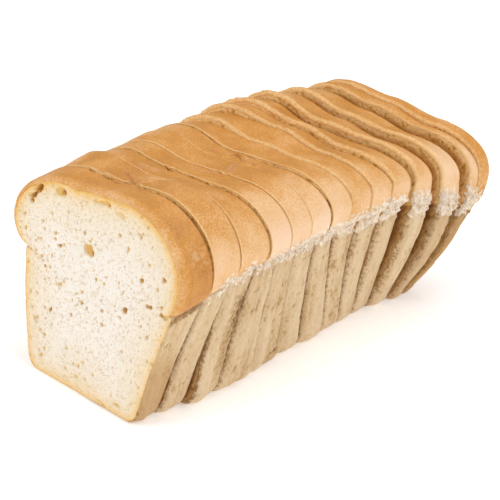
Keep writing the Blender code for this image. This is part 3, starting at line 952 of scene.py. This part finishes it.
def crumb_material(name, colours, golden):
    """Open white crumb, yellower towards its crust and golden at the inner faces' edges, with
    painted shade in its pores, where one slice meets the next and deep in the gaps, and a painted
    highlight along the inner faces' rims.
    """
    g = Graph(name)
    edge, pit = g.mask("edge"), g.mask("grain")
    drift = g.spread(g.noise(6.0, 2.0), 0.3, 0.7, -0.6, 0.6)
    near = g.math("ADD", edge, drift)
    if golden:
        # From the edge inwards: a light rim, partly the golden skin and partly painted highlight,
        # then painted contact shade where one slice meets the next, then paler crumb.
        stops = ((0.0, colours.rim_brown), (0.06, colours.rim_golden), (0.1, colours.band),
                 (0.17, colours.band_contact_shade), (0.45, colours.crumb_yellow), (0.8, colours.crumb))
    else:
        near = g.math("ADD", near, g.math("MULTIPLY", g.mask("wall"), 1.3))
        stops = ((0.0, colours.rim_front), (0.06, colours.crumb_yellow),
                 (0.15, colours.crumb_cream), (0.36, colours.crumb), (1.0, colours.crumb_white))
    base = g.ramp(g.math("DIVIDE", near, 30.0, clamp=True), stops)
    # Pores painted tan over the crumb: painted shade in small holes that have only a bump under
    # them.
    wide = g.cells(2.1, stretch=(1.0, 4.0, 1.0))
    small = g.cells(1.05, stretch=(1.0, 4.0, 1.0))
    crowd = g.spread(g.noise(11.0, 2.0), 0.35, 0.65, 0.25, 1.0)
    open_wide = g.math("MULTIPLY", g.spread(wide, 0.18, 0.28, 1.0, 0.0), crowd)
    open_small = g.math("MULTIPLY", g.spread(small, 0.2, 0.36, 1.0, 0.0), 0.6)
    pores = g.math("MAXIMUM", open_wide, open_small)
    base = g.mix(g.math("MULTIPLY", pores, 0.6), base, colours.pore)
    # Painted shade: the modelled holes get darker with their depth.
    inside = g.ramp(pit, ((0.0, colours.pore), (0.3, colours.pore), (0.8, colours.pore_deep_shade)))
    base = g.mix(g.spread(pit, 0.06, 0.34, 0.0, 0.9), base, inside)
    if golden:
        # Painted shade on the inner faces deep in the gaps below the waist.
        low = g.math("MULTIPLY", g.mask("wall"), g.spread(edge, 0.5, 4.0, 0.55, 0.95))
        low = g.math("MULTIPLY", low, g.spread(edge, 8.0, 15.0, 1.0, 0.0))
        base = g.mix(low, base, colours.gap)
    g.put(g.shader.inputs["Base Color"], base)
    g.put(g.shader.inputs["Roughness"], 0.9)
    g.put(g.shader.inputs["Specular IOR Level"], 0.2)
    grain = g.noise(0.8, 3.0, rough=0.65)
    height = g.math("SUBTRACT", g.math("MULTIPLY", grain, 0.5), pores)
    g.bump(height, 0.5, 0.6)
    return g.material


def floor_material(colours):
    """Plain pale table, with a faint glow of its own."""
    g = Graph("pale table")
    g.put(g.shader.inputs["Base Color"], (*colours.floor, 1.0))
    g.put(g.shader.inputs["Roughness"], 0.9)
    g.put(g.shader.inputs["Emission Color"], (1.0, 1.0, 1.0, 1.0))
    g.put(g.shader.inputs["Emission Strength"], 0.3)
    return g.material


# Settings


def length(name, description, value_mm):
    """A size that a user can change."""
    return bpy.props.FloatProperty(name=name, description=description,
                                   default=value_mm * MM, min=0.0, unit="LENGTH",
                                   precision=5)


def colour(name, description, red, green, blue):
    """A colour that a user can change."""
    return bpy.props.FloatVectorProperty(name=name, description=description,
                                         default=srgb(red, green, blue), subtype="COLOR",
                                         min=0.0, max=1.0, size=3)


class LoafSizes(bpy.types.PropertyGroup):
    """Sizes of the loaf's relief and fineness of its meshes"""

    wall_ripple: length("Wall ripple", "Depth of the ripples down the tin walls", 0.8)
    shred_relief: length("Shred relief", "How far the torn shred stands out", 1.35)
    wall_round: length("Wall edge", "Rounding of a slice's edges on the walls", 1.7)
    wall_pillow: length("Wall pillow", "How far the walls fall away towards the cuts", 1.2)
    crown_round: length("Crown edge", "Rounding of a slice's edges on the crown", 0.35)
    step_round: length("Step edge", "Extra rounding where a slice stands above the last", 1.7)
    pore_count: bpy.props.IntProperty(name="Pores", default=1150, min=0,
                                      description="Modelled pores in the front face")
    face_rings: bpy.props.IntProperty(name="Face rings", default=120, min=8,
                                      description="Fineness of the front face")
    rows: bpy.props.IntProperty(name="Rows", default=18, min=2,
                                description="Rows of points across a slice's thickness")


class LoafColours(bpy.types.PropertyGroup):
    """Colours of the crust, the crumb and the table"""

    crust_pale: colour("Pale crust", "Least baked crown", 247, 209, 172)
    # Partly the shoulders' paler crust and partly painted sheen.
    crust_light: colour("Light crust", "Shoulders of the crown", 237, 189, 134)
    crust_golden: colour("Golden crust", "Tops of the lobes", 217, 150, 66)
    # The brown crust also paints the shade at the crown's back edges and in the grooves.
    crust_brown: colour("Brown crust", "Most baked crown", 190, 126, 56)
    # Also the painted highlight spots on the front slice's right lobe.
    crust_pink: colour("Pink crust", "Torn and folded places on the crown", 238, 194, 150)
    # Painted highlight along a slice's rounded front edge.
    crust_edge_highlight: colour("Crust edge", "Bright line along a slice's front edge", 247, 206, 144)
    # Scorched specks, and the painted shade along the crown's creases.
    crust_dark: colour("Dark crust", "Scorched spots", 150, 86, 36)
    # Painted shade in the deepest grooves between slices.
    wall_groove_shade: colour("Wall groove", "Deepest grooves between slices", 136, 94, 46)
    wall_tan: colour("Wall tan", "Tan places on the first and last walls", 180, 130, 62)
    # Painted shade on the cut faces deep in the gaps.
    gap: colour("Gap", "Cut faces deep in the gaps", 150, 98, 48)
    # Painted shade in the walls' furrows, over their darker streaks.
    wall_dark_and_furrow_shade: colour("Dark wall", "Grooves of the tin walls", 188, 152, 104)
    wall_mid: colour("Wall", "Tin walls", 218, 188, 147)
    # Painted light on the walls' ridges, over their paler streaks.
    wall_pale_and_ridge_light: colour("Pale wall", "Ridges of the tin walls", 232, 208, 172)
    shred_shade: colour("Shred shade", "Hollows of the torn shred", 206, 172, 134)
    shred: colour("Shred", "Torn shred below the crown", 236, 212, 182)
    shred_white: colour("White shred", "Lightest torn threads", 250, 238, 222)
    crumb_white: colour("White crumb", "Middle of the crumb", 247, 238, 226)
    crumb: colour("Crumb", "Most of the crumb", 244, 230, 209)
    crumb_cream: colour("Cream crumb", "Crumb near the crust", 243, 222, 188)
    crumb_yellow: colour("Yellow crumb", "Crumb beside the crust", 243, 206, 150)
    rim_front: colour("Front rim", "Skin around the front face", 238, 186, 100)
    rim_golden: colour("Golden rim", "Skin around a cut face", 246, 202, 136)
    # Partly the skin's colour and partly painted highlight along the rim.
    rim_brown: colour("Brown rim", "Edge of the inner cut faces", 252, 214, 152)
    band: colour("Crumb band", "Crumb just inside the inner faces' edge", 230, 176, 110)
    # Painted shade where one slice meets the next.
    band_contact_shade: colour("Deep band", "Crumb where one slice meets the next", 206, 142, 76)
    # Painted shade in small pores.
    pore: colour("Pore", "Small pores", 228, 184, 100)
    # Painted shade at the bottoms of the large holes.
    pore_deep_shade: colour("Deep pore", "Bottoms of the large holes", 188, 120, 34)
    floor: colour("Table", "Floor the loaf stands on", 250, 250, 250)


# Operators


class LOAF_OT_front_slice(bpy.types.Operator):
    """Makes the front slice with its open white crumb face"""

    bl_idname = "loaf.front_slice"
    bl_label = "Front slice"

    def execute(self, context):
        sizes, colours = context.scene.loaf_sizes, context.scene.loaf_colours
        crumb = crumb_material("white crumb", colours, False)
        make_piece(0, sizes, crust_material(colours), crumb)
        return {"FINISHED"}


class LOAF_OT_middle_slices(bpy.types.Operator):
    """Makes the slices between the front one and the heel"""

    bl_idname = "loaf.middle_slices"
    bl_label = "Middle slices"

    def execute(self, context):
        sizes, colours = context.scene.loaf_sizes, context.scene.loaf_colours
        crust = crust_material(colours)
        crumb = crumb_material("golden crumb edge", colours, True)
        for number in range(1, HEEL):
            make_piece(number, sizes, crust, crumb)
        return {"FINISHED"}


class LOAF_OT_heel(bpy.types.Operator):
    """Makes the heel with its rounded end crust"""

    bl_idname = "loaf.heel"
    bl_label = "Heel"

    def execute(self, context):
        sizes, colours = context.scene.loaf_sizes, context.scene.loaf_colours
        crumb = crumb_material("heel crumb", colours, True)
        make_piece(HEEL, sizes, crust_material(colours), crumb)
        return {"FINISHED"}


def add_table(scene):
    """Adds the pale table under the loaf."""
    half = TABLE_HALF
    mesh = bpy.data.meshes.new("table_top")
    corners = [(-half, -half, 0), (half, -half, 0), (half, half, 0), (-half, half, 0)]
    mesh.from_pydata(corners, [], [(0, 1, 2, 3)])
    mesh.materials.append(floor_material(scene.loaf_colours))
    table = bpy.data.objects.new("table_top", mesh)
    table.location.z = -TABLE_DROP
    scene.collection.objects.link(table)


def add_lights(scene):
    """Adds the soft room light and the softboxes."""
    world = bpy.data.worlds.new("soft room")
    world.use_nodes = True
    room = world.node_tree.nodes["Background"]
    room.inputs["Color"].default_value = (1, 1, 1, 1)
    room.inputs["Strength"].default_value = ROOM_LIGHT
    scene.world = world
    scene.view_settings.view_transform = "Standard"
    for name, place, power, size in LIGHTS:
        light = bpy.data.lights.new(name, "AREA")
        light.energy = power
        light.size = size
        lamp = bpy.data.objects.new(name, light)
        lamp.location = place
        aim = Vector(LIGHTS_AIM) - Vector(place)
        lamp.rotation_euler = aim.to_track_quat("-Z", "Y").to_euler()
        scene.collection.objects.link(lamp)


def add_camera(scene):
    """Adds the camera at the photograph's viewing angle."""
    camera = bpy.data.cameras.new("photo_view")
    camera.sensor_width = SENSOR
    camera.lens = LENS
    camera.clip_start = 0.01
    turn, rise = math.radians(VIEW_TURN), math.radians(VIEW_RISE)
    back = Vector((math.sin(turn) * math.cos(rise), -math.cos(turn) * math.cos(rise),
                   math.sin(rise)))
    aim = (Vector(VIEW_AIM) - Vector((*ORIGIN, 0.0))) * MM
    eye = bpy.data.objects.new("photo_view", camera)
    eye.location = aim + back * VIEW_DISTANCE
    eye.rotation_euler = (-back).to_track_quat("-Z", "Y").to_euler()
    scene.collection.objects.link(eye)
    scene.camera = eye


class LOAF_OT_stage(bpy.types.Operator):
    """Makes the pale table, the soft light and the camera"""

    bl_idname = "loaf.stage"
    bl_label = "Table, light and camera"

    def execute(self, context):
        add_table(context.scene)
        add_lights(context.scene)
        add_camera(context.scene)
        return {"FINISHED"}


class LOAF_PT_panel(bpy.types.Panel):
    """Lists the loaf's pieces"""

    bl_idname = "LOAF_PT_panel"
    bl_label = "Loaf"
    bl_space_type = "VIEW_3D"
    bl_region_type = "UI"
    bl_category = "Loaf"

    def draw(self, context):
        for kind in OPERATORS:
            self.layout.operator(kind.bl_idname)
        for group in (context.scene.loaf_sizes, context.scene.loaf_colours):
            for name in group.bl_rna.properties.keys():
                if name not in ("rna_type", "name"):
                    self.layout.prop(group, name)


OPERATORS = (LOAF_OT_front_slice, LOAF_OT_middle_slices, LOAF_OT_heel, LOAF_OT_stage)
CLASSES = (LoafSizes, LoafColours, *OPERATORS, LOAF_PT_panel)


def register():
    for kind in CLASSES:
        bpy.utils.register_class(kind)
    bpy.types.Scene.loaf_sizes = bpy.props.PointerProperty(type=LoafSizes)
    bpy.types.Scene.loaf_colours = bpy.props.PointerProperty(type=LoafColours)


def unregister():
    del bpy.types.Scene.loaf_colours
    del bpy.types.Scene.loaf_sizes
    for kind in reversed(CLASSES):
        bpy.utils.unregister_class(kind)


def main():
    """Makes every piece and the stage."""
    register()
    bpy.ops.loaf.front_slice()
    bpy.ops.loaf.middle_slices()
    bpy.ops.loaf.heel()
    bpy.ops.loaf.stage()


if __name__ == "__main__":
    main()
